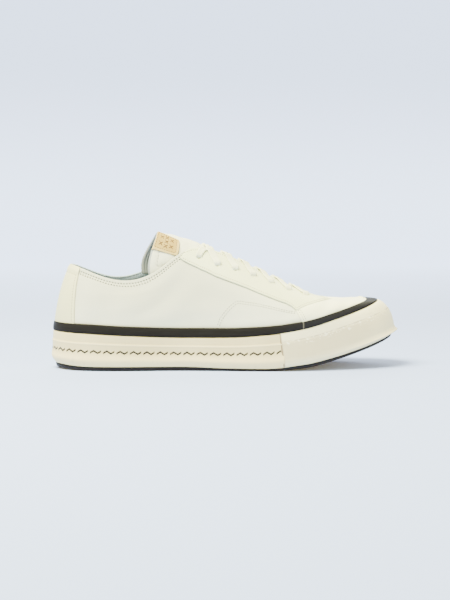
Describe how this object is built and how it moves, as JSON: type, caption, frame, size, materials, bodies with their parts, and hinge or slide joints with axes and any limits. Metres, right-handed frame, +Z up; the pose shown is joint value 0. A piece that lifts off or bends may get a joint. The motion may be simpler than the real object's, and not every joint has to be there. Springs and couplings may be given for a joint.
{
  "type": "low-cut sneaker",
  "caption": "Low-cut lace-up sneaker with a cup sole, dark sidewall stripe, toe bumper, punched facings, tongue and flat laces.",
  "frame": {"origin": "middle of the footprint's bounding box, on the floor", "axes": "+X towards the toe, +Y towards the foot's inner side, +Z up; the right shoe's outer side faces -Y"},
  "size_m": [0.3, 0.1092, 0.1171],
  "materials": {
    "outsole_rubber": "matte dark rubber",
    "sidewall_rubber": "matte off-white rubber",
    "bumper_rubber": "satin off-white rubber",
    "stripe_rubber": "satin near-black rubber",
    "insole_cloth": "grey-green cloth",
    "upper_canvas": "off-white, fine weave",
    "stay_leather": "warm white, fine grain",
    "facing_leather": "warm white, fine grain",
    "tongue_leather": "off-white, fine grain",
    "label_leather": "tan, matte",
    "lace_cotton": "off-white flat braid"
  },
  "bodies": {
    "root": {"outsole": "outsole_rubber", "midsole": "sidewall_rubber", "toe_bumper": "bumper_rubber", "sidewall_stripe": "stripe_rubber", "insole": "insole_cloth", "upper": "upper_canvas", "heel_stay": "stay_leather", "eyestay": "facing_leather", "tongue": "tongue_leather", "tongue_label": "label_leather", "lace": "lace_cotton"}
  },
  "joints": []
}
